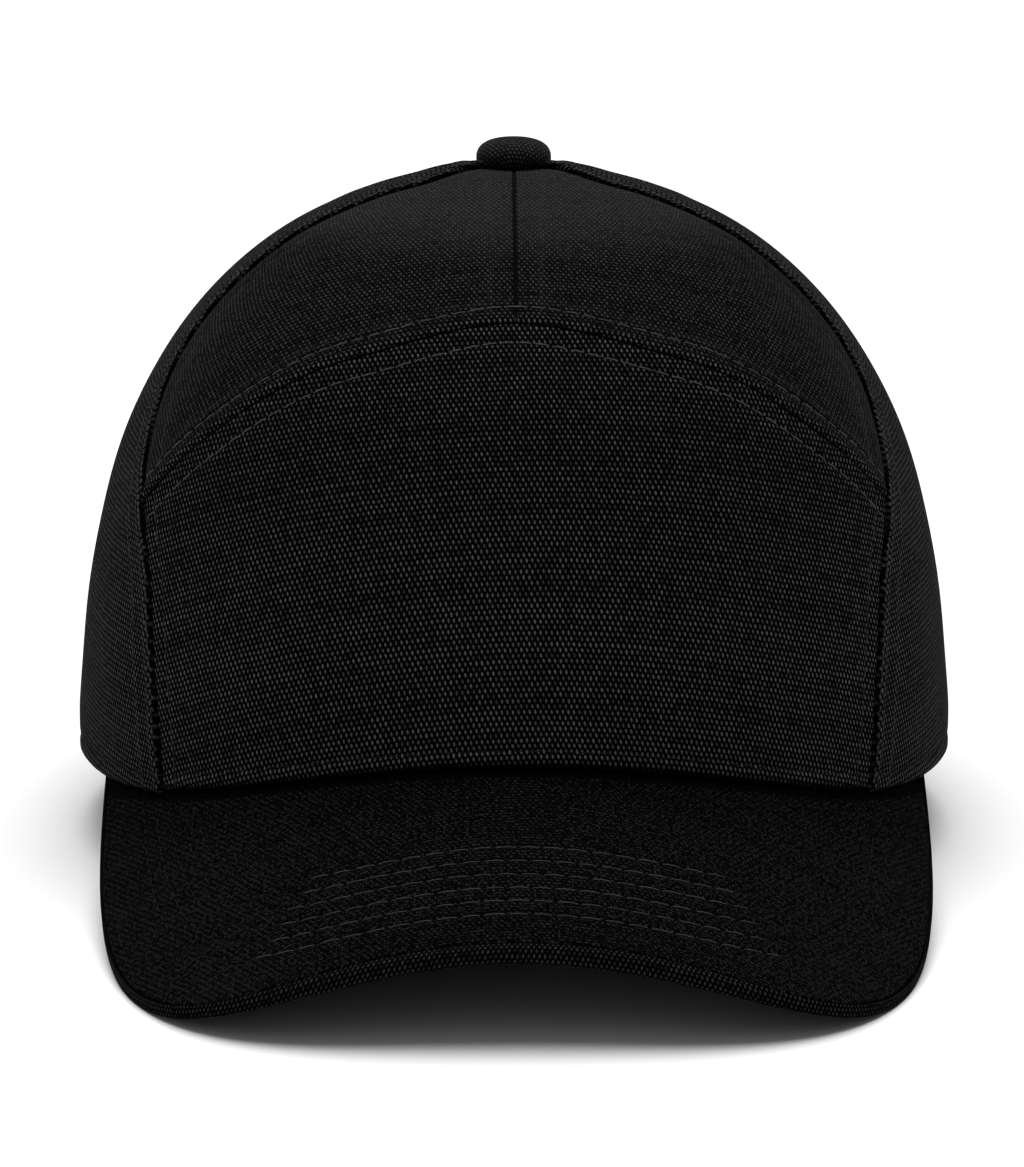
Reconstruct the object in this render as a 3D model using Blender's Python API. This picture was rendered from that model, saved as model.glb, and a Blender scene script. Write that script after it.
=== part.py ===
"""Seven panel cap resting on a table: one wide front panel, two upper front panels, two side
panels and two back panels, a curved visor of two cloths, and a covered button on top.

Every piece is worked out in the cap's own frame: the rim lies near Z = 0, the front looks
along -Y and the crown stands along +Z. A turned empty then sets the cap down, on the back of
its rim and on the two low corners of its visor.
"""
import bmesh
import bpy
import math
import numpy as np
from mathutils import Matrix, Vector

# Crown, measured on its outer cloth.
HALF_WIDTH = 0.0892
FRONT_REACH = 0.0974
BACK_REACH = 0.1040
CROWN_HEIGHT = 0.1208
SIDE_POWER = 2.50
FRONT_POWER = 2.20
BACK_POWER = 2.17
PEAK_RISE = 0.0057
BUTTON_DIMPLE = 0.0030
DIMPLE_RADIUS = 0.0090
RING_RADIUS = 0.0032

# Cloth and seams.
WALL = 0.0018
SEAM_GAP = 0.0003
SEAM_DIP = 0.0005
SEAM_BLEND = 0.0025
HEM_LIFT_ZONE = 0.040

# Height share of the crown, swell of the plan between its axes, and the plan angles from the
# front, in degrees, of the two seams on each side.
CROWN_ROWS = (
    # height, swell, front_seam, rear_seam
    (0.00, 0.001, 51.3, 117.0),
    (0.15, 0.010, 52.3, 117.5),
    (0.35, 0.021, 55.2, 119.0),
    (0.55, 0.039, 63.2, 121.0),
    (0.75, 0.054, 69.5, 122.0),
    (0.90, 0.060, 66.5, 122.0),
    (0.97, 0.022, 55.5, 121.0),
    (0.985, 0.011, 43.5, 120.5),
    (1.00, 0.000, 37.0, 120.0),
)

# Arched seam over the wide front panel: share of the panel's half width, and height.
ARCH_ROWS = (
    # share, height
    (0.00, 0.0974),
    (0.40, 0.0904),
    (0.75, 0.0740),
    (1.00, 0.0603),
)

# Visor.
VISOR_LENGTH = 0.0675
VISOR_ROOT_RISE = 0.0139
VISOR_SLOPE = 18.5
VISOR_BEND_RADIUS = 0.1081
VISOR_BEND_GROWTH = 0.01
VISOR_HALF_WIDTH = 0.0823
VISOR_CORNER_POWER = 4.00
VISOR_PLAN_BACK = 0.0080
VISOR_END_REACH = 0.0345
VISOR_END_ANGLE = 68.4
VISOR_TUCK = 0.0040
VISOR_CLOTH = 0.0010
VISOR_CLOTH_GAP = 0.0003
VISOR_BOARD = 0.0019
VISOR_LIP = 0.0030
RIM_FREE_ANGLE = 67.5
RIM_LEVEL_ANGLE = 105.0

# Back of the rim, flattened on the table.
REST_ANGLE = 152.0
REST_FADE_ANGLE = 122.0

# Button.
BUTTON_HEIGHT_ON_CROWN = 0.12405
BUTTON_TILT = 4.0
STEM_RADIUS = 0.0019
STEM_LENGTH = 0.0032
BUTTON_ROWS = (
    # radius, height
    (0.00190, 0.00000),
    (0.00660, 0.00000),
    (0.00735, 0.00045),
    (0.00765, 0.00140),
    (0.00762, 0.00245),
    (0.00725, 0.00355),
    (0.00640, 0.00450),
    (0.00500, 0.00525),
    (0.00320, 0.00568),
    (0.00140, 0.00583),
)

# Plain black cloths: name, base colour, roughness.
CLOTHS = {
    "front_canvas": ((0.013, 0.013, 0.014, 1.0), 0.90),
    "upper_front_cloth": ((0.016, 0.016, 0.017, 1.0), 0.88),
    "side_and_back_canvas": ((0.014, 0.014, 0.015, 1.0), 0.90),
    "visor_cloth": ((0.012, 0.012, 0.013, 1.0), 0.88),
    "visor_canvas": ((0.013, 0.013, 0.014, 1.0), 0.90),
    "button_canvas": ((0.014, 0.014, 0.015, 1.0), 0.90),
}


def clear_scene():
    for item in list(bpy.data.objects):
        bpy.data.objects.remove(item, do_unlink=True)


def smooth_rows(table, column, place, level_start=False):
    """Value of one column of a table at a place in its first column, along a smooth curve."""
    xs = np.array([row[0] for row in table])
    ys = np.array([row[column] for row in table])
    step = np.diff(xs)
    rise = np.diff(ys) / step
    slope = np.zeros_like(ys)
    slope[0] = 0.0 if level_start else rise[0]
    slope[-1] = rise[-1]
    for i in range(1, len(xs) - 1):
        if rise[i - 1] * rise[i] > 0:
            a = 2 * step[i] + step[i - 1]
            b = step[i] + 2 * step[i - 1]
            slope[i] = (a + b) / (a / rise[i - 1] + b / rise[i])
    place = np.clip(np.asarray(place, float), xs[0], xs[-1])
    k = np.clip(np.searchsorted(xs, place, side="right") - 1, 0, len(xs) - 2)
    t = (place - xs[k]) / step[k]
    return (ys[k] * (1 + 2 * t) * (1 - t) ** 2 + slope[k] * step[k] * t * (1 - t) ** 2
            + ys[k + 1] * t * t * (3 - 2 * t) - slope[k + 1] * step[k] * t * t * (1 - t))


def ease(low, high, value):
    """0 below low, 1 above high and a smooth step between."""
    t = np.clip((value - low) / (high - low), 0.0, 1.0)
    return t * t * (3.0 - 2.0 * t)


def height_share(climb):
    """Height share of the crown at a climb angle: 0 at the rim, a quarter turn at the top."""
    return np.sin(climb) ** (2.0 / SIDE_POWER)


def climb_at(share):
    return np.arcsin(np.clip(share, 0.0, 1.0) ** (SIDE_POWER / 2.0))


def crown_plan(turn, climb):
    """Plan position (x, forward) of the crown at a plan angle from the front."""
    share = height_share(climb)
    side = np.cos(climb) ** (2.0 / SIDE_POWER)
    front = np.clip(1.0 - share ** FRONT_POWER, 0.0, 1.0) ** (1.0 / FRONT_POWER)
    back = np.clip(1.0 - share ** BACK_POWER, 0.0, 1.0) ** (1.0 / BACK_POWER)
    swell = 1.0 + smooth_rows(CROWN_ROWS, 1, share) * np.sin(2.0 * turn) ** 2
    reach = np.where(np.cos(turn) > 0, FRONT_REACH * front, BACK_REACH * back)
    return HALF_WIDTH * side * np.sin(turn) * swell, reach * np.cos(turn) * swell


def visor_height(x, forward):
    """Height of the visor's upper face."""
    run = forward - FRONT_REACH
    bend = 1.0 + VISOR_BEND_GROWTH * run / VISOR_LENGTH
    slope = math.tan(math.radians(VISOR_SLOPE))
    return VISOR_ROOT_RISE - slope * run - x * x * bend / (2.0 * VISOR_BEND_RADIUS)


def rim_height(x, forward, table_slope):
    """Height of the crown's lower edge over a plan position."""
    turn = np.degrees(np.abs(np.arctan2(x / HALF_WIDTH, forward / FRONT_REACH)))
    on_visor = 1.0 - ease(RIM_FREE_ANGLE, RIM_LEVEL_ANGLE, turn)
    on_table = ease(REST_FADE_ANGLE, REST_ANGLE, turn)
    over_visor = visor_height(x, forward) + SEAM_GAP
    table = -(BACK_REACH + forward) * table_slope
    return on_visor * over_visor + on_table * table


def crown_point(turn, climb, table_slope):
    """Point on the crown's outer face, or an array of them."""
    turn, climb = np.broadcast_arrays(turn, climb)
    x, forward = crown_plan(turn, climb)
    side = np.cos(climb) ** (2.0 / SIDE_POWER)
    z = CROWN_HEIGHT * height_share(climb) + PEAK_RISE * (1.0 - side) ** 3
    z = z - BUTTON_DIMPLE * np.exp(-(x * x + forward * forward) / DIMPLE_RADIUS ** 2)
    foot_x, foot_forward = crown_plan(turn, np.zeros_like(climb))
    lift = rim_height(foot_x, foot_forward, table_slope)
    z = z + lift * np.clip(1.0 - z / HEM_LIFT_ZONE, 0.0, 1.0) ** 2
    return np.stack([x, -forward, z], axis=-1)


def crown_normal(turn, climb, table_slope):
    step = 1.0e-4
    along = crown_point(turn + step, climb, table_slope) - crown_point(turn - step, climb, table_slope)
    low = np.maximum(climb - step, 0.0)
    high = np.minimum(climb + step, math.pi / 2)
    up = crown_point(turn, high, table_slope) - crown_point(turn, low, table_slope)
    out = np.cross(along, up)
    return out / np.linalg.norm(out, axis=-1, keepdims=True)


def seam_turn(seam, climb):
    """Plan angle of a seam at a climb angle. The seams are front, rear, middle and back."""
    share = height_share(climb)
    if seam == "front":
        return np.radians(smooth_rows(CROWN_ROWS, 2, share))
    if seam == "rear":
        return np.radians(smooth_rows(CROWN_ROWS, 3, share))
    if seam == "middle":
        return np.zeros_like(share)
    return np.full_like(share, math.pi)


def ring_climb(turn):
    """Climb angle where the crown reaches the eyelet under the button."""
    low = np.full_like(turn, 1.2)
    high = np.full_like(turn, math.pi / 2 - 1.0e-9)
    for _ in range(60):
        middle = (low + high) / 2
        x, forward = crown_plan(turn, middle)
        outside = np.hypot(x, forward) > RING_RADIUS
        low = np.where(outside, middle, low)
        high = np.where(outside, high, middle)
    return low


def edge_climb(edge, share, turn):
    """Climb angle of a panel's lower or upper edge."""
    if edge == "rim":
        return np.zeros_like(share)
    if edge == "arch":
        return climb_at(smooth_rows(ARCH_ROWS, 1, np.abs(share), level_start=True) / CROWN_HEIGHT)
    return ring_climb(turn)


def steps_up(arch, rows):
    """Row shares of a panel, closer together beside the arched seam."""
    shares = np.concatenate([[0.0, 0.04], np.linspace(0.13, 1.0, rows - 1)])
    return shares if arch == "below" else 1.0 - shares[::-1]


def steps_beside(front_steps, upper_steps):
    """Row shares of a side panel that meet the rows of both panels along the front seam."""
    bend = climb_at(ARCH_ROWS[-1][1] / CROWN_HEIGHT)
    top = ring_climb(np.radians(np.array([CROWN_ROWS[-1][2]])))[0]
    climbs = np.concatenate([bend * front_steps[:-2], [bend], bend + (top - bend) * upper_steps[1:]])
    return climbs / top


def panel_shell(first, second, lower, upper, columns, up, table_slope):
    """Outer and inner grids of one panel between two seams and two edges."""
    across = np.concatenate([[0.0, 0.03], np.linspace(0.10, 0.90, columns - 3), [0.97, 1.0]])
    across, up = np.meshgrid(across, up)
    climb = np.full_like(across, 0.8)
    for _ in range(30):
        left = seam_turn(first, climb)
        right = seam_turn(second, climb)
        if first == "mirror":
            left = -right
        turn = left + (right - left) * across
        share = turn / seam_turn("front", climb)
        low = edge_climb(lower, share, turn)
        high = edge_climb(upper, share, turn)
        climb = 0.5 * climb + 0.5 * (low + (high - low) * up)
    x, forward = crown_plan(turn, climb)
    radius = np.maximum(np.hypot(x, forward), RING_RADIUS)
    middle = 2.0 * across - 1.0
    turn = turn - np.sign(middle) * (np.abs(middle) == 1.0) * SEAM_GAP / 2 / radius
    tall = FRONT_REACH * (high - low)
    inset = SEAM_GAP / 2 / np.maximum(tall, 0.01)
    if lower == "arch":
        climb = climb + (high - low) * inset * (up == 0.0)
    if upper == "arch":
        climb = climb - (high - low) * inset * (up == 1.0)
    outer = crown_point(turn, climb, table_slope)
    normal = crown_normal(turn, climb, table_slope)
    width = (right - left) * radius
    off = np.minimum(across, 1.0 - across) * width
    if lower == "arch":
        off = np.minimum(off, up * tall)
    if upper == "arch":
        off = np.minimum(off, (1.0 - up) * tall)
    inner = outer - normal * WALL
    outer = outer - normal * (SEAM_DIP * np.exp(-off / SEAM_BLEND))[..., None]
    if lower == "rim":
        for face in (outer, inner):
            face[0, :, 2] = rim_height(face[0, :, 0], -face[0, :, 1], table_slope)
    return outer, inner


def evenly(curve, count):
    """The same curve with points at equal steps along it."""
    length = np.concatenate([[0.0], np.cumsum(np.linalg.norm(np.diff(curve, axis=0), axis=1))])
    places = np.linspace(0.0, length[-1], count)
    return np.stack([np.interp(places, length, curve[:, k]) for k in range(2)], axis=1)


def visor_root(count):
    """Plan curve of the visor's tucked edge, inside the crown."""
    turn = np.radians(np.linspace(-VISOR_END_ANGLE, VISOR_END_ANGLE, 801))
    x, forward = crown_plan(turn, np.zeros_like(turn))
    shrink = 1.0 - VISOR_TUCK / FRONT_REACH
    return evenly(np.stack([x, forward], axis=1) * shrink, count)


def visor_rim(count, inset):
    """Plan curve of the visor's outer edge, moved inwards by an inset."""
    sweep = np.linspace(-math.pi / 2, math.pi / 2, 4001)
    power = 2.0 / VISOR_CORNER_POWER
    x = VISOR_HALF_WIDTH * np.sign(np.sin(sweep)) * np.abs(np.sin(sweep)) ** power
    span = FRONT_REACH + VISOR_LENGTH - VISOR_PLAN_BACK
    forward = VISOR_PLAN_BACK + span * np.abs(np.cos(sweep)) ** power
    keep = forward >= VISOR_END_REACH
    curve = evenly(np.stack([x[keep], forward[keep]], axis=1), count)
    along = np.gradient(curve, axis=0)
    along = along / np.linalg.norm(along, axis=1, keepdims=True)
    inward = np.stack([along[:, 1], -along[:, 0]], axis=1)
    return curve + inward * inset


def visor_row(plan, depth):
    """Points at a depth under the visor's upper face over a plan curve."""
    z = visor_height(plan[:, 0], plan[:, 1]) - depth
    return np.stack([plan[:, 0], -plan[:, 1], z], axis=-1)


def visor_top_rings(columns, rows):
    """Closed section rings of the visor's upper cloth, from one end to the other."""
    root = visor_root(columns + 1)
    edge = visor_rim(columns + 1, VISOR_LIP + SEAM_GAP)
    shares = np.linspace(0.0, 1.0, rows + 1)
    top = [visor_row(root + (edge - root) * s, 0.0) for s in shares]
    bottom = [visor_row(root + (edge - root) * s, VISOR_CLOTH) for s in shares[::-1]]
    return np.stack(top + bottom, axis=1)


def visor_under_rings(columns, rows):
    """Closed section rings of the visor's lower cloth and its rolled edge."""
    root = visor_root(columns + 1)
    inner = visor_rim(columns + 1, VISOR_LIP)
    floor = VISOR_CLOTH + VISOR_CLOTH_GAP
    full = floor + VISOR_BOARD
    shares = np.linspace(0.0, 1.0, rows + 1)
    top = [visor_row(root + (inner - root) * s, floor) for s in shares]
    lip = (
        # inset, depth
        (VISOR_LIP, 0.0),
        (0.0012, 0.0),
        (0.0003, 0.0006),
        (0.0000, 0.0016),
        (0.0003, 0.0026),
        (0.0012, full),
    )
    roll = [visor_row(visor_rim(columns + 1, inset), depth) for inset, depth in lip]
    back = visor_rim(columns + 1, 0.0012)
    bottom = [visor_row(root + (back - root) * s, full) for s in shares[::-1][1:]]
    return np.stack(top + roll + bottom, axis=1)


def make_mesh(name, points, faces, cloth):
    mesh = bpy.data.meshes.new(name)
    mesh.from_pydata([tuple(p) for p in points], [], faces)
    body = bmesh.new()
    body.from_mesh(mesh)
    bmesh.ops.triangulate(body, faces=body.faces[:])
    bmesh.ops.recalc_face_normals(body, faces=body.faces[:])
    body.to_mesh(mesh)
    body.free()
    mesh.materials.append(cloth)
    mesh.shade_smooth()
    mesh.set_sharp_from_angle(angle=math.radians(35.0))
    item = bpy.data.objects.new(name, mesh)
    bpy.context.collection.objects.link(item)
    return item


def shell_object(name, shell, cloth):
    """One closed body from the outer and inner grids of a panel."""
    outer, inner = shell
    rows, columns = outer.shape[:2]
    points = np.concatenate([outer.reshape(-1, 3), inner.reshape(-1, 3)])
    base = rows * columns

    def at(row, column, layer):
        return layer * base + row * columns + column

    faces = []
    for r in range(rows - 1):
        for c in range(columns - 1):
            for layer in (0, 1):
                faces.append((at(r, c, layer), at(r, c + 1, layer),
                              at(r + 1, c + 1, layer), at(r + 1, c, layer)))
    for c in range(columns - 1):
        for r in (0, rows - 1):
            faces.append((at(r, c, 0), at(r, c + 1, 0), at(r, c + 1, 1), at(r, c, 1)))
    for r in range(rows - 1):
        for c in (0, columns - 1):
            faces.append((at(r, c, 0), at(r + 1, c, 0), at(r + 1, c, 1), at(r, c, 1)))
    return make_mesh(name, points, faces, cloth)


def ring_object(name, rings, cloth):
    """One closed body from section rings, capped at both ends."""
    count, around = rings.shape[:2]
    points = rings.reshape(-1, 3)
    faces = []
    for r in range(count - 1):
        for c in range(around):
            d = (c + 1) % around
            faces.append((r * around + c, r * around + d,
                          (r + 1) * around + d, (r + 1) * around + c))
    faces.append(tuple(range(around)))
    faces.append(tuple((count - 1) * around + c for c in range(around)))
    return make_mesh(name, points, faces, cloth)


def button_object(name, cloth, sides):
    """The covered button with its short stem, turned about its own axis."""
    rows = [(STEM_RADIUS, -STEM_LENGTH)] + list(BUTTON_ROWS)
    points = []
    faces = []
    for radius, height in rows:
        for k in range(sides):
            a = 2.0 * math.pi * k / sides
            points.append((radius * math.cos(a), radius * math.sin(a), height))
    for r in range(len(rows) - 1):
        for k in range(sides):
            n = (k + 1) % sides
            faces.append((r * sides + k, r * sides + n, (r + 1) * sides + n, (r + 1) * sides + k))
    faces.append(tuple(range(sides)))
    faces.append(tuple((len(rows) - 1) * sides + k for k in range(sides)))
    item = make_mesh(name, points, faces, cloth)
    item.location = (0.0, 0.0, BUTTON_HEIGHT_ON_CROWN)
    item.rotation_euler = (math.radians(BUTTON_TILT), 0.0, 0.0)
    return item


def mirrored(shell):
    return tuple(face * np.array([-1.0, 1.0, 1.0]) for face in shell)


def resting_slope(rings):
    """Slope of the table under the cap, from the back of the rim to the visor's low corners."""
    points = rings.reshape(-1, 3)
    return float(np.max(-points[:, 2] / (BACK_REACH - points[:, 1])))


def make_cloths():
    cloths = {}
    for name, (colour, roughness) in CLOTHS.items():
        cloth = bpy.data.materials.new(name)
        cloth.use_nodes = True
        shader = cloth.node_tree.nodes["Principled BSDF"]
        shader.inputs["Base Color"].default_value = colour
        shader.inputs["Roughness"].default_value = roughness
        cloth.diffuse_color = colour
        cloths[name] = cloth
    return cloths


def set_down(pieces, slope):
    """Turn the cap onto the table and centre its box over the origin."""
    rest = bpy.data.objects.new("cap_on_table", None)
    bpy.context.collection.objects.link(rest)
    for piece in pieces:
        piece.parent = rest
    turn = Matrix.Rotation(-math.atan(slope), 4, "X")
    corners = [turn @ piece.matrix_basis @ vertex.co for piece in pieces for vertex in piece.data.vertices]
    low = Vector([min(c[k] for c in corners) for k in range(3)])
    high = Vector([max(c[k] for c in corners) for k in range(3)])
    rest.rotation_euler = (-math.atan(slope), 0.0, 0.0)
    rest.location = (-(low.x + high.x) / 2, -(low.y + high.y) / 2, -low.z)


def main():
    clear_scene()
    cloths = make_cloths()
    around = cloths["side_and_back_canvas"]
    under = visor_under_rings(columns=40, rows=7)
    top = visor_top_rings(columns=40, rows=8)
    slope = resting_slope(under)
    front_steps = steps_up("above", 10)
    upper_steps = steps_up("below", 11)
    side_steps = steps_beside(front_steps, upper_steps)
    front = panel_shell("mirror", "front", "rim", "arch", 20, front_steps, slope)
    upper = panel_shell("middle", "front", "arch", "ring", 9, upper_steps, slope)
    side = panel_shell("front", "rear", "rim", "ring", 11, side_steps, slope)
    back = panel_shell("rear", "back", "rim", "ring", 11, side_steps, slope)
    pieces = [
        shell_object("front_panel", front, cloths["front_canvas"]),
        shell_object("upper_front_panel_right", upper, cloths["upper_front_cloth"]),
        shell_object("upper_front_panel_left", mirrored(upper), cloths["upper_front_cloth"]),
        shell_object("side_panel_right", side, around),
        shell_object("side_panel_left", mirrored(side), around),
        shell_object("back_panel_right", back, around),
        shell_object("back_panel_left", mirrored(back), around),
        ring_object("visor_top_cloth", top, cloths["visor_cloth"]),
        ring_object("visor_under_cloth", under, cloths["visor_canvas"]),
        button_object("top_button", cloths["button_canvas"], 24),
    ]
    set_down(pieces, slope)


main()
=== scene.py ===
# %% [markdown]
# # A seven panel cap in black canvas
#
# The cap has one wide front panel of coarse canvas, two upper front panels of finer cloth over
# an arched seam, two side panels, two back panels, a stitched visor and a covered button.
#
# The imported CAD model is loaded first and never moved. It says where every piece is, and each
# cloth below is made again over its CAD solid with rolled seams, a weave and stitches.

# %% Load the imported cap
import math

import bmesh
import bpy
import numpy as np
from mathutils import Matrix, Vector


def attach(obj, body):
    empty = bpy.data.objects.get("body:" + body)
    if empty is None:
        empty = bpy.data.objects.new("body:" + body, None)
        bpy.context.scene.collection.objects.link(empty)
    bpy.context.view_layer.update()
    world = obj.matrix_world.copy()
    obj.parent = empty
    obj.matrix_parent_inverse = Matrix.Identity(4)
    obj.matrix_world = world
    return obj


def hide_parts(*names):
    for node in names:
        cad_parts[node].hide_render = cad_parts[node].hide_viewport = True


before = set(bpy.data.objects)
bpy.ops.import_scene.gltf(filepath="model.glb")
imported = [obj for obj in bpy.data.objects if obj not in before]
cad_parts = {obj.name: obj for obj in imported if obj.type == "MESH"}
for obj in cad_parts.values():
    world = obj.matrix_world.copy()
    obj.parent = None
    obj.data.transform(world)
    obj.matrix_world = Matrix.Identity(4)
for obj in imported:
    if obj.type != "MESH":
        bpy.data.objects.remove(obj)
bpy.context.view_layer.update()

print("CAD pieces:", ", ".join(sorted(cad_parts)))

# %% [markdown]
# ## The sizes of the crown
#
# A maker cuts each panel from a paper pattern. Here one set of sizes takes its place: the reach
# of the crown to the front, the sides and the back, how square its profiles are, and where the
# seams run at each height. They are the CAD model's own sizes, so both fit to a hair.

# %% Crown sizes, in metres
HALF_WIDTH = 0.0892
FRONT_REACH = 0.0974
BACK_REACH = 0.1040
CROWN_HEIGHT = 0.1208
SIDE_POWER = 2.50
FRONT_POWER = 2.20
BACK_POWER = 2.17
PEAK_RISE = 0.0057
BUTTON_DIMPLE = 0.0030
DIMPLE_RADIUS = 0.0090
RING_RADIUS = 0.0032
WALL = 0.0018
# neighbouring cloths stand this far apart outside, and lap this much inside
SEAM_GAP = 0.0001
SEAM_LAP = 0.0001
# the rim's lift fades out over this height, and clears the visor by this much
HEM_LIFT_ZONE = 0.040
RIM_CLEARANCE = 0.0003

CROWN_ROWS = (
    # height share, swell, front seam and rear seam in degrees from the front
    (0.00, 0.001, 51.3, 117.0),
    (0.15, 0.010, 52.3, 117.5),
    (0.35, 0.021, 55.2, 119.0),
    (0.55, 0.039, 63.2, 121.0),
    (0.75, 0.054, 69.5, 122.0),
    (0.90, 0.060, 66.5, 122.0),
    (0.97, 0.022, 55.5, 121.0),
    (0.985, 0.011, 43.5, 120.5),
    (1.00, 0.000, 37.0, 120.0),
)
ARCH_ROWS = (
    # share of the panel's half width, height of the arched seam
    (0.00, 0.0974),
    (0.40, 0.0904),
    (0.75, 0.0740),
    (1.00, 0.0603),
)
print(f"crown {2000 * HALF_WIDTH:.0f} mm wide, {1000 * (FRONT_REACH + BACK_REACH):.0f} mm long")

# %% Visor sizes, in metres and degrees
VISOR_LENGTH = 0.0675
VISOR_ROOT_RISE = 0.0139
VISOR_SLOPE = 18.5
VISOR_BEND_RADIUS = 0.1081
VISOR_BEND_GROWTH = 0.01
VISOR_HALF_WIDTH = 0.0823
VISOR_CORNER_POWER = 4.00
VISOR_PLAN_BACK = 0.0080
VISOR_END_REACH = 0.0345
VISOR_END_ANGLE = 68.4
VISOR_TUCK = 0.0040
VISOR_CLOTH = 0.0010
VISOR_CLOTH_GAP = 0.0003
VISOR_BOARD = 0.0019
VISOR_LIP = 0.0030
RIM_FREE_ANGLE = 67.5
RIM_LEVEL_ANGLE = 105.0
REST_ANGLE = 152.0
REST_FADE_ANGLE = 122.0
TABLE_SLOPE = 0.10441422

# %% [markdown]
# ## Curves through a table
#
# A few sizes in a table are enough for a smooth seam, if a curve runs through them that never
# swings past a point. The slope at each point is the harmonic mean of its neighbours' slopes.

# %% Smooth curves and steps
def smooth_rows(table, column, place, level_start=False):
    """One column of a table at places in its first column, along a smooth curve."""
    xs = np.array([row[0] for row in table])
    ys = np.array([row[column] for row in table])
    step = np.diff(xs)
    rise = np.diff(ys) / step
    slope = np.zeros_like(ys)
    slope[0] = 0.0 if level_start else rise[0]
    slope[-1] = rise[-1]
    for i in range(1, len(xs) - 1):
        if rise[i - 1] * rise[i] > 0:
            a = 2 * step[i] + step[i - 1]
            b = step[i] + 2 * step[i - 1]
            slope[i] = (a + b) / (a / rise[i - 1] + b / rise[i])
    place = np.clip(np.asarray(place, float), xs[0], xs[-1])
    k = np.clip(np.searchsorted(xs, place, side="right") - 1, 0, len(xs) - 2)
    t = (place - xs[k]) / step[k]
    return (ys[k] * (1 + 2 * t) * (1 - t) ** 2 + slope[k] * step[k] * t * (1 - t) ** 2
            + ys[k + 1] * t * t * (3 - 2 * t) - slope[k + 1] * step[k] * t * t * (1 - t))


def ease(low, high, value):
    """0 below low, 1 above high and a smooth step between."""
    t = np.clip((value - low) / (high - low), 0.0, 1.0)
    return t * t * (3.0 - 2.0 * t)


def unit(vectors):
    """The same directions, one long."""
    return vectors / np.linalg.norm(vectors, axis=-1, keepdims=True)


def lengths_along(points, axis=0):
    """Length run along a line, or along grid lines, up to each point."""
    steps = np.linalg.norm(np.diff(points, axis=axis), axis=-1)
    start = np.zeros_like(np.take(steps, [0], axis=axis))
    return np.concatenate([start, np.cumsum(steps, axis=axis)], axis=axis)


def add_object(name, data):
    """A new object in the scene."""
    thing = bpy.data.objects.new(name, data)
    bpy.context.collection.objects.link(thing)
    return thing


# %% [markdown]
# ## The crown as one surface
#
# Sewn panels make a dome with soft shoulders. A superellipse, a circle whose power is above 2,
# gives those shoulders, so the whole crown is one surface over two angles: the turn round the
# head from the front, and the climb from the rim to the button.

# %% The crown's surface
def height_share(climb):
    """Height share of the crown: 0 at the rim and 1 at the top."""
    return np.sin(climb) ** (2.0 / SIDE_POWER)


def climb_at(share):
    return np.arcsin(np.clip(share, 0.0, 1.0) ** (SIDE_POWER / 2.0))


def crown_plan(turn, climb):
    """Place on the crown seen from above: to the side, and forward."""
    share = height_share(climb)
    side = np.cos(climb) ** (2.0 / SIDE_POWER)
    front, back = (reach * np.clip(1.0 - share ** power, 0.0, 1.0) ** (1.0 / power)
                   for reach, power in ((FRONT_REACH, FRONT_POWER), (BACK_REACH, BACK_POWER)))
    swell = 1.0 + smooth_rows(CROWN_ROWS, 1, share) * np.sin(2.0 * turn) ** 2
    reach = np.where(np.cos(turn) > 0, front, back)
    return HALF_WIDTH * side * np.sin(turn) * swell, reach * np.cos(turn) * swell


def visor_height(x, forward):
    """Height of the visor's upper face: it slopes down and bends over like a cone."""
    run = forward - FRONT_REACH
    bend = 1.0 + VISOR_BEND_GROWTH * run / VISOR_LENGTH
    slope = math.tan(math.radians(VISOR_SLOPE))
    return VISOR_ROOT_RISE - slope * run - x * x * bend / (2.0 * VISOR_BEND_RADIUS)


def rim_height(x, forward):
    """Height of the crown's lower edge: on the visor, free at the side, on the table behind."""
    turn = np.degrees(np.abs(np.arctan2(x / HALF_WIDTH, forward / FRONT_REACH)))
    on_visor = 1.0 - ease(RIM_FREE_ANGLE, RIM_LEVEL_ANGLE, turn)
    on_table = ease(REST_FADE_ANGLE, REST_ANGLE, turn)
    over_visor = visor_height(x, forward) + RIM_CLEARANCE
    table = -(BACK_REACH + forward) * TABLE_SLOPE
    return on_visor * over_visor + on_table * table


def crown_point(turn, climb):
    """Points on the crown's outer cloth."""
    turn, climb = np.broadcast_arrays(turn, climb)
    x, forward = crown_plan(turn, climb)
    side = np.cos(climb) ** (2.0 / SIDE_POWER)
    z = CROWN_HEIGHT * height_share(climb) + PEAK_RISE * (1.0 - side) ** 3
    z = z - BUTTON_DIMPLE * np.exp(-(x * x + forward * forward) / DIMPLE_RADIUS ** 2)
    lift = rim_height(*crown_plan(turn, np.zeros_like(climb)))
    z = z + lift * np.clip(1.0 - z / HEM_LIFT_ZONE, 0.0, 1.0) ** 2
    return np.stack([x, -forward, z], axis=-1)


def crown_normal(turn, climb):
    """Outward directions of the crown's cloth."""
    step = 1.0e-4
    along = crown_point(turn + step, climb) - crown_point(turn - step, climb)
    low = np.maximum(climb - step, 0.0)
    high = np.minimum(climb + step, math.pi / 2)
    up = crown_point(turn, high) - crown_point(turn, low)
    return unit(np.cross(along, up))


def seam_turn(seam, climb):
    """Turn of a seam at a climb. The seams are front, rear, middle and back."""
    share = height_share(climb)
    if seam == "front":
        return np.radians(smooth_rows(CROWN_ROWS, 2, share))
    if seam == "rear":
        return np.radians(smooth_rows(CROWN_ROWS, 3, share))
    return np.full_like(share, 0.0 if seam == "middle" else math.pi)


# %% Where a panel ends
BELOW_RING = 1.2
HALVINGS = 40


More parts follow.
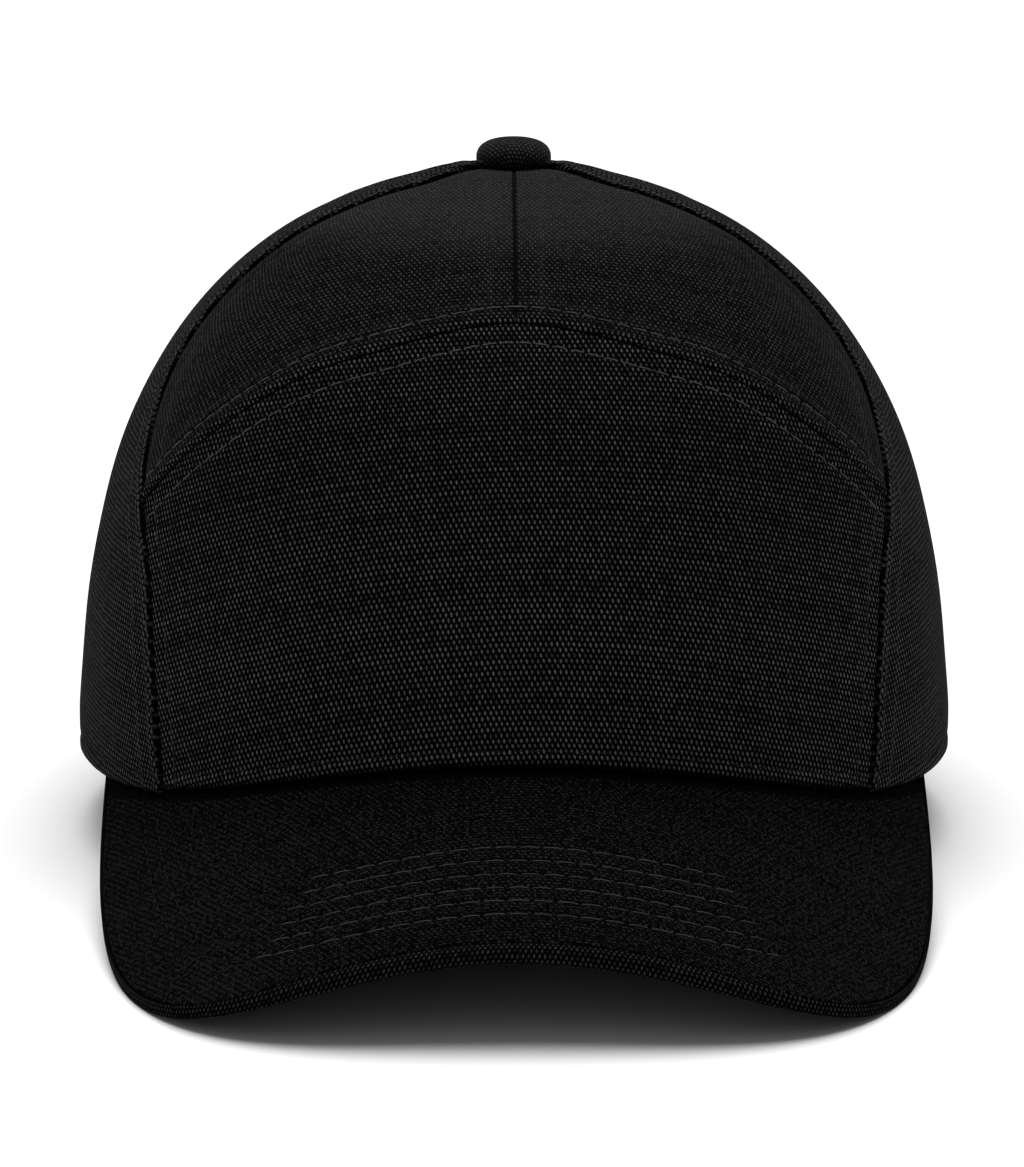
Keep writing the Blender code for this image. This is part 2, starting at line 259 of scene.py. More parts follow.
def ring_climb(turn):
    """Climb where the cloth reaches the eyelet under the button."""
    low = np.full_like(turn, BELOW_RING)
    high = np.full_like(turn, math.pi / 2 - 1.0e-9)
    for _ in range(HALVINGS):
        middle = (low + high) / 2
        outside = np.hypot(*crown_plan(turn, middle)) > RING_RADIUS
        low = np.where(outside, middle, low)
        high = np.where(outside, high, middle)
    return low


def edge_climb(edge, share, turn):
    """Climb of a panel's lower or upper edge: rim, arch or ring."""
    if edge == "rim":
        return np.zeros_like(share)
    if edge == "arch":
        arch = smooth_rows(ARCH_ROWS, 1, np.abs(share), level_start=True)
        return climb_at(arch / CROWN_HEIGHT)
    return ring_climb(turn)


# %% [markdown]
# ## Setting the cap down
#
# The crown is worked out with a level rim. A cap laid on a table leans back a little, on the
# back of its rim and the two low corners of its visor, so every finished point gets that turn.

# %% From the cap's own frame to the table
TABLE_TURN = np.array(Matrix.Rotation(-math.atan(TABLE_SLOPE), 3, "X"))
TABLE_SHIFT = np.array([0.0, 0.03039, 0.01103])


def on_table(points):
    return points @ TABLE_TURN.T + TABLE_SHIFT


def turned_only(directions):
    return directions @ TABLE_TURN.T


print(f"the cap leans back {math.degrees(math.atan(TABLE_SLOPE)):.1f} degrees")

# %% [markdown]
# ## A grid over each panel
#
# Each panel is a grid of points between its two seams and its two ends. The lines are a few
# tenths of a millimetre apart beside a seam, where the cloth rolls over, and wider in the middle.

# %% Grid lines, closer by the edges
EDGE_STEPS = np.array([0.0, 0.18, 0.36, 0.54, 0.72, 0.9, 1.1, 1.3, 1.55, 1.8, 2.1, 2.4, 2.7,
                       3.0, 3.3, 3.6, 4.0, 4.4, 4.8, 5.2, 5.7, 6.4, 7.4]) / 1000.0
FIRST_CLIMB = 0.8
SETTLING_ROUNDS = 30


def grid_lines(length, step):
    """Shares from 0 to 1 over a length, close together at both ends."""
    edge = EDGE_STEPS / length
    count = max(2, round((1.0 - 2.0 * edge[-1]) * length / step))
    middle = np.linspace(edge[-1], 1.0 - edge[-1], count + 1)[1:-1]
    return np.concatenate([edge, middle, (1.0 - edge)[::-1]])


def panel_angles(first, second, lower, upper, across, up):
    """Turn of each outer and inner grid point between two seams and two ends, and its climb."""
    across, up = np.meshgrid(across, up)
    climb = np.full_like(across, FIRST_CLIMB)
    for _ in range(SETTLING_ROUNDS):
        right = seam_turn(second, climb)
        left = -right if first == "mirror" else seam_turn(first, climb)
        turn = left + (right - left) * across
        share = turn / seam_turn("front", climb)
        low = edge_climb(lower, share, turn)
        high = edge_climb(upper, share, turn)
        climb = 0.5 * climb + 0.5 * (low + (high - low) * up)
    radius = np.maximum(np.hypot(*crown_plan(turn, climb)), RING_RADIUS)
    inward = ((across == 0.0) * 1.0 - (across == 1.0) * 1.0) / radius
    return turn + inward * SEAM_GAP / 2, turn - inward * SEAM_LAP / 2, climb


# %% Distances over the cloth
BELT_CLIMB = 0.35
PATH_POINTS = 17


def edge_distances(points):
    """Distance of each point from the panel's first, second, lower and upper edge."""
    row = unit(np.gradient(points, axis=1))
    column = unit(np.gradient(points, axis=0))
    square = np.linalg.norm(np.cross(row, column), axis=2)
    over = lengths_along(points, 1)
    up = lengths_along(points, 0)
    return {"first": over * square, "second": (over[:, -1:] - over) * square,
            "lower": up * square, "upper": (up[-1:] - up) * square}


def drooped(across, droop, straight_from):
    """How far a crosswise thread hangs at a distance from the centre line."""
    return droop * straight_from ** 2 * (np.sqrt(1.0 + (across / straight_from) ** 2) - 1.0)


def cloth_places(turn, climb, centre, droop, straight_from, slant):
    """Place on the flat cloth in metres: across from the centre line, and up from a belt.

    The crosswise threads droop away from the centre line, and slant where the cut does."""
    shares = np.linspace(0.0, 1.0, PATH_POINTS)[:, None, None]
    middle = centre(climb)
    over = crown_point(middle + (turn - middle) * shares, climb[None])
    across = np.sign(turn - middle) * lengths_along(over)[-1]
    line = crown_point(turn[None], BELT_CLIMB + (climb - BELT_CLIMB) * shares)
    up = np.sign(climb - BELT_CLIMB) * lengths_along(line)[-1]
    return across, up + drooped(across, droop, straight_from) + slant * across


# %% [markdown]
# ## How an edge is finished
#
# At a seam the two cloths fold down into a narrow groove. The side panels lie over the front
# ones in a plump roll, a top-stitched edge is pressed flat, and the allowance under a pressed
# seam shows as a faint step. Each finish is one row of sizes in a table.

# %% Edge finishes, in metres
EDGE_FINISHES = {
    # fold depth, fold radius, roll height, roll place, roll width, stitch place, stitch press,
    # allowance width, allowance step
    "side_seam": (0.0011, 0.0004, 0.00008, 0.0018, 0.0009, 0.0042, 0.00018, 0.0, 0.0),
    "upper_side_seam": (0.0011, 0.0004, 0.00008, 0.0018, 0.0009, 0.0062, 0.00014, 0.0070, 0.00009),
    "side_roll": (0.0011, 0.0005, 0.00045, 0.0013, 0.0010, 0.0, 0.0, 0.0075, 0.00060),
    "arch_canvas": (0.0011, 0.0007, 0.00010, 0.0014, 0.0009, 0.0050, 0.00026, 0.0, 0.0),
    "arch_cloth": (0.0009, 0.0005, 0.0, 0.0, 0.0009, 0.0042, 0.00022, 0.0062, 0.00007),
    "middle_seam": (0.0013, 0.0006, 0.0, 0.0018, 0.0009, 0.0, 0.0, 0.0052, 0.00006),
    "rear_seam": (0.0011, 0.0009, 0.00025, 0.0014, 0.0010, 0.0032, 0.00020, 0.0066, 0.00025),
    "hem": (0.0008, 0.0009, 0.00010, 0.0018, 0.0012, 0.0036, 0.00026, 0.0, 0.0),
    "front_hem": (0.0014, 0.0020, 0.00015, 0.0024, 0.0012, 0.0038, 0.00026, 0.0, 0.0),
    "eyelet": (0.0, 0.0009, 0.0, 0.0, 0.0012, 0.0, 0.0, 0.0, 0.0),
}
STITCH_GROOVE = 0.0005
STEP_WIDTH = 0.0007
# where a panel is narrower than this, its rolls and the lighter colour of its rolls and steps fade
SMALL_PANEL = 0.010
LEAST_CALM = 0.15
# painted shade in a fold's groove: this much darker, fading from this share of its radius to all
# of it
FOLD_DARK = 1.1
FOLD_DARK_FROM = 0.35
# a roll of this height gets the full lighter colour, and so does a step
FULL_ROLL = 0.0004
FULL_STEP = 0.0005
STEP_LIGHT = 1.2


def edge_finish(distance, finish):
    """Height of the cloth over its plain surface beside one edge, and its colour change: painted
    shade in the fold's groove, lighter along the roll and the step.
    """
    depth, radius, roll, place, width, stitch, press, allowance, step = EDGE_FINISHES[finish]
    inside = np.clip(1.0 - distance / radius, 0.0, 1.0)
    bump = np.exp(-((distance - place) / width) ** 2)
    height = roll * bump - depth * (1.0 - np.sqrt(1.0 - inside ** 2))
    painted_light_and_tone_level = min(roll / FULL_ROLL, 1.0) * bump
    # painted shade in the fold's groove
    if depth > 0.0:
        painted_light_and_tone_level = painted_light_and_tone_level - FOLD_DARK * (1.0 - ease(FOLD_DARK_FROM * radius, radius, distance))
    if press > 0.0:
        height = height - press * np.exp(-((distance - stitch) / STITCH_GROOVE) ** 2)
    if step > 0.0:
        height = height + step * (1.0 - ease(allowance - STEP_WIDTH, allowance, distance))
        from_step = distance - allowance + STEP_WIDTH / 2
        light = STEP_LIGHT * min(step / FULL_STEP, 1.0)
        painted_light_and_tone_level = painted_light_and_tone_level + light * np.exp(-(from_step / STEP_WIDTH) ** 2)
    return height, painted_light_and_tone_level


def panel_relief(distances, finishes):
    """Height of a whole panel's cloth, and its painted shade in the folds with lighter rolls and
    steps.
    """
    room = distances["first"] + distances["second"]
    calm = np.clip(room / SMALL_PANEL, LEAST_CALM, 1.0)
    parts, painted_light_and_tone_marks = np.stack([edge_finish(distances[side], finishes[side])
                             for side in finishes], axis=1)
    low = np.minimum(parts, 0.0).min(axis=0)
    high = np.maximum(parts, 0.0).max(axis=0)
    painted_light_and_tone = np.minimum(painted_light_and_tone_marks, 0.0).min(axis=0) + np.maximum(painted_light_and_tone_marks, 0.0).max(axis=0) * calm
    return low + high * calm, painted_light_and_tone


# %% [markdown]
# ## Soft waves
#
# Sewn cloth is never quite true. A few long, shallow waves, the same for neighbouring panels
# because they follow the place and not the panel, take the machined look away.

# %% Waves of a few hundredths of a millimetre to a few tenths
WAVE_HEIGHT = 0.00028
LONG_WAVE = 0.05
wave_maker = np.random.default_rng(7)
WAVES = [(wave_maker.normal(size=3), length, wave_maker.uniform(0.0, 6.28))
         for length in (0.052, 0.043, 0.034, 0.027, 0.021, 0.016)]


def soft_waves(points):
    """Height of the waves at places in space."""
    total = np.zeros(points.shape[:-1])
    for way, length, phase in WAVES:
        wave = np.sin(2.0 * math.pi * (points @ unit(way)) / length + phase)
        total = total + wave * length / LONG_WAVE
    return WAVE_HEIGHT * total / 2.0


# %% [markdown]
# ## A panel as a closed cloth
#
# A grid has no thickness. The inner grid lies one wall under the outer one, and faces round the
# four edges close the cloth. The inner edges lap a hair over the seam, so that no light comes
# through it. The flat place of each point is kept as a UV map, so that threads can run across
# and up the panel as they were cut.

# %% From grids to a closed mesh
def cloth_mesh(name, points, faces, places, painted_light_and_tone, material):
    """A mesh object with its cloth places as a UV map and its painted light and tone as an
    attribute.
    """
    mesh = bpy.data.meshes.new(name)
    mesh.from_pydata(on_table(points).tolist(), [], faces)
    uv = mesh.uv_layers.new(name="cloth")
    corners = np.zeros(len(mesh.loops), dtype=np.int32)
    mesh.loops.foreach_get("vertex_index", corners)
    uv.data.foreach_set("uv", places[corners].astype(np.float32).ravel())
    attribute = mesh.attributes.new("painted_light_and_tone", "FLOAT", "POINT")
    attribute.data.foreach_set("value", painted_light_and_tone.astype(np.float32))
    shape = bmesh.new()
    shape.from_mesh(mesh)
    bmesh.ops.recalc_face_normals(shape, faces=shape.faces[:])
    shape.to_mesh(mesh)
    shape.free()
    mesh.materials.append(material)
    mesh.shade_smooth()
    return add_object(name, mesh)


def shell_faces(rows, columns):
    """Faces of two grids of points and of the four strips that join their edges."""
    base = rows * columns
    grid = np.arange(base).reshape(rows, columns)
    quads = np.stack([grid[:-1, :-1], grid[:-1, 1:], grid[1:, 1:], grid[1:, :-1]], axis=-1)
    quads = quads.reshape(-1, 4)
    faces = [quads, quads[:, ::-1] + base]
    for line in (grid[0], grid[-1], grid[:, 0], grid[:, -1]):
        faces.append(np.stack([line[:-1], line[1:], line[1:] + base, line[:-1] + base], axis=-1))
    return np.concatenate(faces).tolist()


def finish_piece(piece, node):
    """The piece rides on the cap and hides its CAD solid."""
    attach(piece, "root")
    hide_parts(node)
    triangles = sum(len(face.vertices) - 2 for face in piece.data.polygons)
    print(f"{piece.name}: {triangles} triangles")


# %% [markdown]
# ## Woven cloth from numbers
#
# Plain canvas is a chequerboard: where the lengthwise thread passes over, it shows as a small
# leaning oval, and where it passes under, the crosswise thread shows lower and darker between.
# A node group draws that from the place on the cloth, so no picture is needed and the weave
# keeps its real size: on this cap two ovals are 1.1 mm apart.

# %% Node helpers
class Wire:
    """A value in a node tree. Sums written with it add Math nodes to the tree."""

    def __init__(self, tree, socket):
        self.tree = tree
        self.socket = socket

    def __add__(self, other):
        return calculate("ADD", self, other)

    def __sub__(self, other):
        return calculate("SUBTRACT", self, other)

    def __rsub__(self, other):
        return calculate("SUBTRACT", other, self)

    def __mul__(self, other):
        return calculate("MULTIPLY", self, other)

    def __truediv__(self, other):
        return calculate("DIVIDE", self, other)

    def __pow__(self, other):
        return calculate("POWER", self, other)


def feed(node, inputs):
    """Links each wire and sets each plain value, by the name or place of the input."""
    for name, value in dict(inputs).items():
        if isinstance(value, Wire):
            value.tree.links.new(value.socket, node.inputs[name])
        else:
            node.inputs[name].default_value = value
    return node


def add_node(tree, kind, inputs=(), **settings):
    """Adds a node with its settings and inputs."""
    node = tree.nodes.new(kind)
    for name, value in settings.items():
        setattr(node, name, value)
    return feed(node, inputs)


def wire(tree, kind, inputs=(), output=0, **settings):
    """Adds a node and gives one of its outputs."""
    return Wire(tree, add_node(tree, kind, inputs, **settings).outputs[output])


def calculate(operation, *values):
    """A Math node's result, fed by wires or numbers."""
    tree = next(value.tree for value in values if isinstance(value, Wire))
    return wire(tree, "ShaderNodeMath", enumerate(values), operation=operation)


def at_least(lowest, value):
    return calculate("MAXIMUM", value, lowest)


def mix_colours(share, low, high):
    """A colour between two others."""
    return wire(share.tree, "ShaderNodeMix", {"Factor": share, "A": low, "B": high}, "Result",
                data_type="RGBA")


def noise(place, scale, detail):
    """Cloudy noise from 0 to 1."""
    return wire(place.tree, "ShaderNodeTexNoise",
                {"Vector": place, "Scale": scale, "Detail": detail})


def start_group(name, kind, given, results):
    """A node group with its sockets, and its inputs as wires."""
    tree = bpy.data.node_groups.new(name, kind)
    for way, sockets in (("INPUT", given), ("OUTPUT", results)):
        for label, value in sockets:
            tree.interface.new_socket(name=label, in_out=way, socket_type="NodeSocket" + value)
    outputs = tree.nodes.new("NodeGroupInput").outputs
    return tree, {label: Wire(tree, outputs[label]) for label, value in given}


# %% The weave
SLOW_WAVER = 90.0
QUICK_WAVER = 420.0
WEFT_NARROW = 2.4
THREAD_CHANCE = 0.7


def make_weave():
    """Node group: height and brightness of each thread of a plain weave."""
    tree, given = start_group(
        "plain_weave", "ShaderNodeTree",
        [("Place", "Vector")] + [(label, "Float") for label in (
            "Warp pitch", "Weft pitch", "Oval width", "Oval length", "Lean", "Waver",
            "Weft show")],
        [("Height", "Float"), ("Thread", "Float")])
    place = given["Place"]
    parts = add_node(tree, "ShaderNodeSeparateXYZ", {0: place}).outputs
    shift = (noise(place, SLOW_WAVER, 1.0) - 0.5) * given["Waver"]
    shiver = (noise(place, QUICK_WAVER, 0.0) - 0.5) * given["Waver"]
    u = Wire(tree, parts["X"]) + shift * 2.0
    v = Wire(tree, parts["Y"]) + shift + shiver

    weft = v / given["Weft pitch"]
    pick = calculate("FLOOR", weft)
    along = calculate("FRACT", weft) - 0.5
    warp = u / given["Warp pitch"] + along * given["Lean"]
    thread = calculate("FLOOR", warp)
    side = calculate("FRACT", warp) - 0.5
    over = calculate("FLOORED_MODULO", thread + pick, 2.0)

    oval = 1.0 - ((side / given["Oval width"]) ** 2.0 + (along / given["Oval length"]) ** 2.0)
    oval = calculate("SQRT", at_least(0.0, oval))
    across = at_least(0.0, 1.0 - (along * WEFT_NARROW) ** 2.0) * given["Weft show"]
    height = calculate("MAXIMUM", oval * over, across * (1.0 - over))

    cell = wire(tree, "ShaderNodeCombineXYZ", {"X": thread, "Y": pick})
    chance = wire(tree, "ShaderNodeTexWhiteNoise", {"Vector": cell}, "Value",
                  noise_dimensions="2D")
    row = wire(tree, "ShaderNodeTexWhiteNoise", {"W": pick}, "Value", noise_dimensions="1D")
    chance = chance * THREAD_CHANCE + row * (1.0 - THREAD_CHANCE)
    add_node(tree, "NodeGroupOutput", {"Height": height, "Thread": chance})
    return tree


weave = make_weave()
print(f"plain_weave has {len(weave.nodes)} nodes")

# %% [markdown]
# ## The black cloths
#
# Black cotton looks black in the gaps and grey on the threads by light: the gaps swallow it and
# the crowns of the threads catch it. The cloth here is smooth, so that shade is painted: the
# colour runs from a painted near black in the gaps to a dark grey over the height of a thread,
# each thread a little different, and the same height drives the bump. Sheen gives the pale edge
# that fuzzy cotton shows where the eye skims along it.

# %% Cloth materials
# painted shade in the gaps between the threads
PAINTED_GAP_SHADE = (0.0003, 0.0003, 0.00035, 1.0)
OVAL_SIZE = 0.5
WAVER = 0.00030
PATCH_SCALE, PATCH_SPREAD = 38.0, 0.2
# gain of the painted light and tone attribute on the colour, and the darkest it may paint
PAINTED_LIGHT_GAIN, DARKEST_PAINTED_SHADE = 0.9, 0.03
FLUFF_GAIN, DARKEST_FLUFF = 6.0, 0.05
GAP_ROUGH, THREAD_SMOOTHER = 0.95, 0.15
CLOTH_BUMP = (0.4, 0.0002)
CLOTHS = {
    # thread grey, warp pitch, weft pitch, lean, weft show, sheen, uneven, speckle, sharpness,
    # painted sheen, fluff scale
    "front_canvas": (0.079, 0.000542, 0.00109, 0.30, 0.22, 0.0, 0.65, 0.40, 2.5, 0.0, 2000.0),
    "side_canvas": (0.060, 0.000542, 0.00109, 0.25, 0.22, 0.005, 0.55, 0.45, 2.2, 0.0, 2000.0),
    "upper_cloth": (0.033, 0.000542, 0.00087, 0.25, 0.35, 0.012, 0.80, 1.10, 2.0, 0.45, 2000.0),
    "visor_cloth": (0.0125, 0.000550, 0.0011, 0.25, 0.45, 0.0, 0.95, 3.20, 1.8, 0.0, 1400.0),
    "visor_canvas": (0.026, 0.000500, 0.00090, 0.25, 0.25, 0.0, 0.80, 0.60, 2.4, 0.0, 2000.0),
    "button_canvas": (0.036, 0.000470, 0.0009, 0.25, 0.35, 0.060, 0.45, 0.40, 1.6, 0.0, 2000.0),
}


def new_material(name):
    material = bpy.data.materials.new(name)
    material.use_nodes = True
    return material


def set_shader(material, colour, rough, height, bump, values):
    """Feeds colour, roughness and a bump of a strength and a distance, and sets plain values."""
    tree = material.node_tree
    raised = wire(tree, "ShaderNodeBump",
                  {"Strength": bump[0], "Distance": bump[1], "Height": height}, "Normal")
    feed(tree.nodes["Principled BSDF"],
         {"Base Color": colour, "Roughness": rough, "Normal": raised, **values})


def cloth_material(name, thread_grey, warp, weft, lean, weft_show, sheen, uneven, speckle,
                   sharpness, painted_sheen, fluff_scale):
    """A woven black cloth on the piece's own cloth places."""
    material = new_material(name + "_weave")
    tree = material.node_tree
    place = wire(tree, "ShaderNodeUVMap", output="UV", uv_map="cloth")
    woven = add_node(tree, "ShaderNodeGroup", {
        "Place": place, "Warp pitch": warp, "Weft pitch": weft, "Oval width": OVAL_SIZE,
        "Oval length": OVAL_SIZE, "Lean": lean, "Waver": WAVER, "Weft show": weft_show},
        node_tree=weave)
    height = Wire(tree, woven.outputs["Height"])
    lively = Wire(tree, woven.outputs["Thread"]) * (2.0 * uneven) + (1.0 - uneven)
    patches = noise(place, PATCH_SCALE, 3.0) * PATCH_SPREAD + (1.0 - PATCH_SPREAD / 2)
    # the attribute holds painted shade and painted light, with lighter rolls and steps, and scales
    # the colour
    painted_light_and_tone = wire(tree, "ShaderNodeAttribute", output="Fac", attribute_name="painted_light_and_tone")
    painted_light_and_tone_level = at_least(DARKEST_PAINTED_SHADE, painted_light_and_tone * PAINTED_LIGHT_GAIN + 1.0)
    fluff = (noise(place, fluff_scale, 2.0) - 0.5) * (FLUFF_GAIN * speckle) + 1.0
    fluff = at_least(DARKEST_FLUFF, fluff)
    # a flat painted sheen lifts the colour where the attribute is above zero
    share = height ** sharpness * (lively * patches * painted_light_and_tone_level * fluff) + at_least(0.0, painted_light_and_tone) * painted_sheen
    grey = (thread_grey, thread_grey, thread_grey * 1.03, 1.0)
    set_shader(material, mix_colours(share, PAINTED_GAP_SHADE, grey),
               GAP_ROUGH - height * THREAD_SMOOTHER, height, CLOTH_BUMP,
               {"Specular IOR Level": 0.01, "Sheen Weight": sheen, "Sheen Roughness": 0.45,
                "Sheen Tint": (0.9, 0.9, 0.93, 1.0)})
    print(f"{name}: ovals {2000 * warp:.2f} mm apart, rows {1000 * weft:.2f} mm")
    return material


cloths = {name: cloth_material(name, *sizes) for name, sizes in CLOTHS.items()}

# %% [markdown]
# ## The seven panels
#
# All seven come from the same steps with other seams and finishes. The left pieces are the right
# ones mirrored, as a cutter turns the pattern over.

# %% Panel sizes
HANDS = ("right", "left")
GRID_STEP = 0.0016
# the left panels' threads are moved by half an oval, so that they aren't a plain mirror image
MIRROR_SHIFT = 0.000275
# the waves die out towards the hem
HEM_CALM = 0.012
# the button's shadow, painted on the cloth round it: where it ends, and how dark
BUTTON_SHADE = (0.0082, 0.0118)
BUTTON_DARK = 1.2
# layers of cloth lift the side panels by the button: height, radii, distances from both seams
LAYERS_HEIGHT = 0.0007
LAYERS_START = (0.0074, 0.0086)
LAYERS_END = (0.010, 0.026)
LAYERS_FIRST = (0.0, 0.0008)
LAYERS_SECOND = (0.0, 0.0060)
# droop of the crosswise threads, length over which they start straight, and slant
FRONT_GRAIN = (5.8, 0.06, -0.03)
UPPER_GRAIN = (14.5, 0.06, 0.0)
SIDE_GRAIN = (0.0, 1.0, -0.12)
BACK_GRAIN = (0.0, 1.0, 0.0)
# light painted by height: two heights, and how much lighter the colour is painted from the first
# to the second (darker where negative)
FRONT_LIGHT = (0.020, 0.078, -0.42)
UPPER_LIGHT = (0.107, 0.117, 0.52)
EVEN_LIGHT = (0.0, 0.1, 0.0)

# %% Make a panel
def panel_middle(seams):
    """The turn of a panel's centre line at each climb."""
    first, second = seams
    if first in ("mirror", "middle"):
        return lambda climb: np.zeros_like(climb)
    return lambda climb: (seam_turn(first, climb) + seam_turn(second, climb)) / 2.0


def make_panel(name, seams, ends, size, finishes, cloth, grain, light, mirror=False):
    """One panel as a closed cloth, and its grids for the stitches."""
    across = grid_lines(size[0], GRID_STEP)
    up = grid_lines(size[1], GRID_STEP)
    turn, inner_turn, climb = panel_angles(*seams, *ends, across, up)
    base = crown_point(turn, climb)
    normal = crown_normal(turn, climb)
    distances = edge_distances(base)
    relief, painted_light_and_tone = panel_relief(distances, finishes)
    radius = np.hypot(base[..., 0], base[..., 1])
    if finishes["first"] == "side_roll":
        layers = ease(*LAYERS_START, radius) * (1.0 - ease(*LAYERS_END, radius))
        relief = relief + LAYERS_HEIGHT * layers * (
            ease(*LAYERS_FIRST, distances["first"]) * ease(*LAYERS_SECOND, distances["second"]))
    relief = relief + soft_waves(base) * ease(0.0, HEM_CALM, distances["lower"])
    outer = base + normal * relief[..., None]
    inner = crown_point(inner_turn, climb) - normal * WALL
    if ends[0] == "rim":
        tuck = np.minimum(edge_finish(distances["lower"], "hem")[0], 0.0)
        inner = inner - normal * tuck[..., None]
        for face in (outer, inner):
            face[0, :, 2] = rim_height(face[0, :, 0], -face[0, :, 1])
    # painted shadow of the button on the cloth round it
    painted_light_and_tone = painted_light_and_tone - BUTTON_DARK * (1.0 - ease(*BUTTON_SHADE, radius))
    # painted light by height: lighter towards the top of the upper panels, darker higher up the
    # front panel
    painted_light_and_tone = painted_light_and_tone + light[2] * ease(light[0], light[1], base[..., 2])
    places = np.stack(cloth_places(turn, climb, panel_middle(seams), *grain), axis=-1)
    if mirror:
        flip = np.array([-1.0, 1.0, 1.0])
        outer, inner, normal = outer * flip, inner * flip, normal * flip
        places = places * flip[:2] + np.array([MIRROR_SHIFT, 0.0])
    points = np.concatenate([outer.reshape(-1, 3), inner.reshape(-1, 3)])
    piece = cloth_mesh(name, points, shell_faces(*turn.shape),
                       np.tile(places.reshape(-1, 2), (2, 1)), np.tile(painted_light_and_tone.ravel(), 2),
                       cloths[cloth])
    return piece, {"outer": outer, "normal": normal, "distances": distances}


def make_pair(name, node, slot, *sizes):
    """The right and the left one of two panels, and their grids."""
    grids = {}
    for hand in HANDS:
        piece, grids[hand] = make_panel(f"{name}_{hand}", *sizes, mirror=hand == "left")
        finish_piece(piece, f"{node}_{hand}")
    return grids


# %% Front panel
# after its seams and ends, each panel has a rough width and height, and its edges' finishes
front_piece, front_grids = make_panel(
    "front_panel_cloth", ("mirror", "front"), ("rim", "arch"), (0.150, 0.090),
    {"first": "side_seam", "second": "side_seam", "lower": "front_hem", "upper": "arch_canvas"},
    "front_canvas", FRONT_GRAIN, FRONT_LIGHT)
finish_piece(front_piece, "front_panel")

# %% Upper front panels
upper_grids = make_pair(
    "upper_front_cloth", "upper_front_panel", "upper_front_cloth",
    ("middle", "front"), ("arch", "ring"), (0.085, 0.105),
    {"first": "middle_seam", "second": "upper_side_seam", "lower": "arch_cloth",
     "upper": "eyelet"},
    "upper_cloth", UPPER_GRAIN, UPPER_LIGHT)

# %% Side panels
side_grids = make_pair(
    "side_canvas", "side_panel", "side_and_back_canvas",
    ("front", "rear"), ("rim", "ring"), (0.098, 0.165),
    {"first": "side_roll", "second": "rear_seam", "lower": "hem", "upper": "eyelet"},
    "side_canvas", SIDE_GRAIN, EVEN_LIGHT)

# %% Back panels
back_grids = make_pair(
    "back_canvas", "back_panel", "side_and_back_canvas",
    ("rear", "back"), ("rim", "ring"), (0.100, 0.170),
    {"first": "rear_seam", "second": "rear_seam", "lower": "hem", "upper": "eyelet"},
    "side_canvas", BACK_GRAIN, EVEN_LIGHT)

# %% [markdown]
# ## The canvas fold over the arched seam
#
# The wide panel's canvas is folded over at the arch, and one row of its coarse threads shows
# above the groove as a narrow roll. It is a half-round strip that follows the upper panels' edge.

# %% Read a line off a panel
def row_beside(grids, side, place, skip=(0.0, 0.0)):
    """Points and cloth directions at one distance from an edge of a panel."""
    distance = grids["distances"][side]
    outer, normal = grids["outer"], grids["normal"]
    if side in ("lower", "upper"):
        distance = distance.T
        outer, normal = outer.transpose(1, 0, 2), normal.transpose(1, 0, 2)
    if side in ("second", "upper"):
        distance, outer, normal = distance[:, ::-1], outer[:, ::-1], normal[:, ::-1]
    places, ways = [], []
    for line in range(len(distance)):
        past = np.nonzero(distance[line] >= place)[0]
        if len(past) and past[0] > 0:
            k = past[0]
            t = (place - distance[line, k - 1]) / (distance[line, k] - distance[line, k - 1])
            places.append(outer[line, k - 1] * (1 - t) + outer[line, k] * t)
            ways.append(normal[line, k - 1] * (1 - t) + normal[line, k] * t)
    places, ways = np.array(places), np.array(ways)
    run = lengths_along(places)
    keep = (run >= skip[0]) & (run <= run[-1] - skip[1])
    return places[keep], ways[keep]


def joined(*rows):
    """Several rows as one, end to end."""
    return np.concatenate([row[0] for row in rows]), np.concatenate([row[1] for row in rows])


def over_both(grids, side, place, skip):
    """One row over a left panel and on over its right neighbour."""
    places, ways = row_beside(grids["left"], side, place, skip)
    return joined((places[::-1], ways[::-1]), row_beside(grids["right"], side, place, skip))


# %% Closed sections swept along a line
def swept_faces(stations, around):
    """Faces between closed section rings, with an end face at both ends."""
    ring = np.arange(stations * around).reshape(stations, around)
    following = np.roll(ring, -1, axis=1)
    quads = np.stack([ring[:-1], following[:-1], following[1:], ring[1:]], axis=-1)
    faces = quads.reshape(-1, 4).tolist()
    return faces + [ring[0].tolist(), ring[-1].tolist()[::-1]]


def swept_cloth(name, rings, flat, painted_light_and_tone, cloth):
    """A cloth from rings of points along a line, with flat places for all of them."""
    return cloth_mesh(name, rings.reshape(-1, 3), swept_faces(*rings.shape[:2]),
                      flat.reshape(-1, 2), painted_light_and_tone.ravel(), cloths[cloth])


# %% Fold of canvas
FOLD_PLACE = 0.0010
FOLD_WIDTH = 0.0019
FOLD_HEIGHT = 0.00040
FOLD_SINK = 0.0005
FOLD_START = 0.0003
FOLD_SHADE = -0.15

spine, spine_up = over_both(upper_grids, "lower", FOLD_PLACE, (FOLD_START, 0.0))
spine_side = np.cross(spine_up, unit(np.gradient(spine, axis=0)))
section = [(-math.cos(a) * FOLD_WIDTH / 2, math.sin(a) * FOLD_HEIGHT)
           for a in np.linspace(0.0, math.pi, 11)]
section += [(FOLD_WIDTH / 2, -FOLD_SINK), (-FOLD_WIDTH / 2, -FOLD_SINK)]
rings = np.stack([spine + spine_side * over + spine_up * out for over, out in section], axis=1)
spine_run = lengths_along(spine)
section_run = lengths_along(np.array(section))
from_middle = spine_run - spine_run[-1] / 2
spine_flat = np.stack([from_middle, drooped(from_middle, *FRONT_GRAIN[:2]) + spine[:, 2]],
                      axis=-1)
flat_way = unit(np.gradient(spine_flat, axis=0))
flat_side = np.stack([-flat_way[:, 1], flat_way[:, 0]], axis=-1)
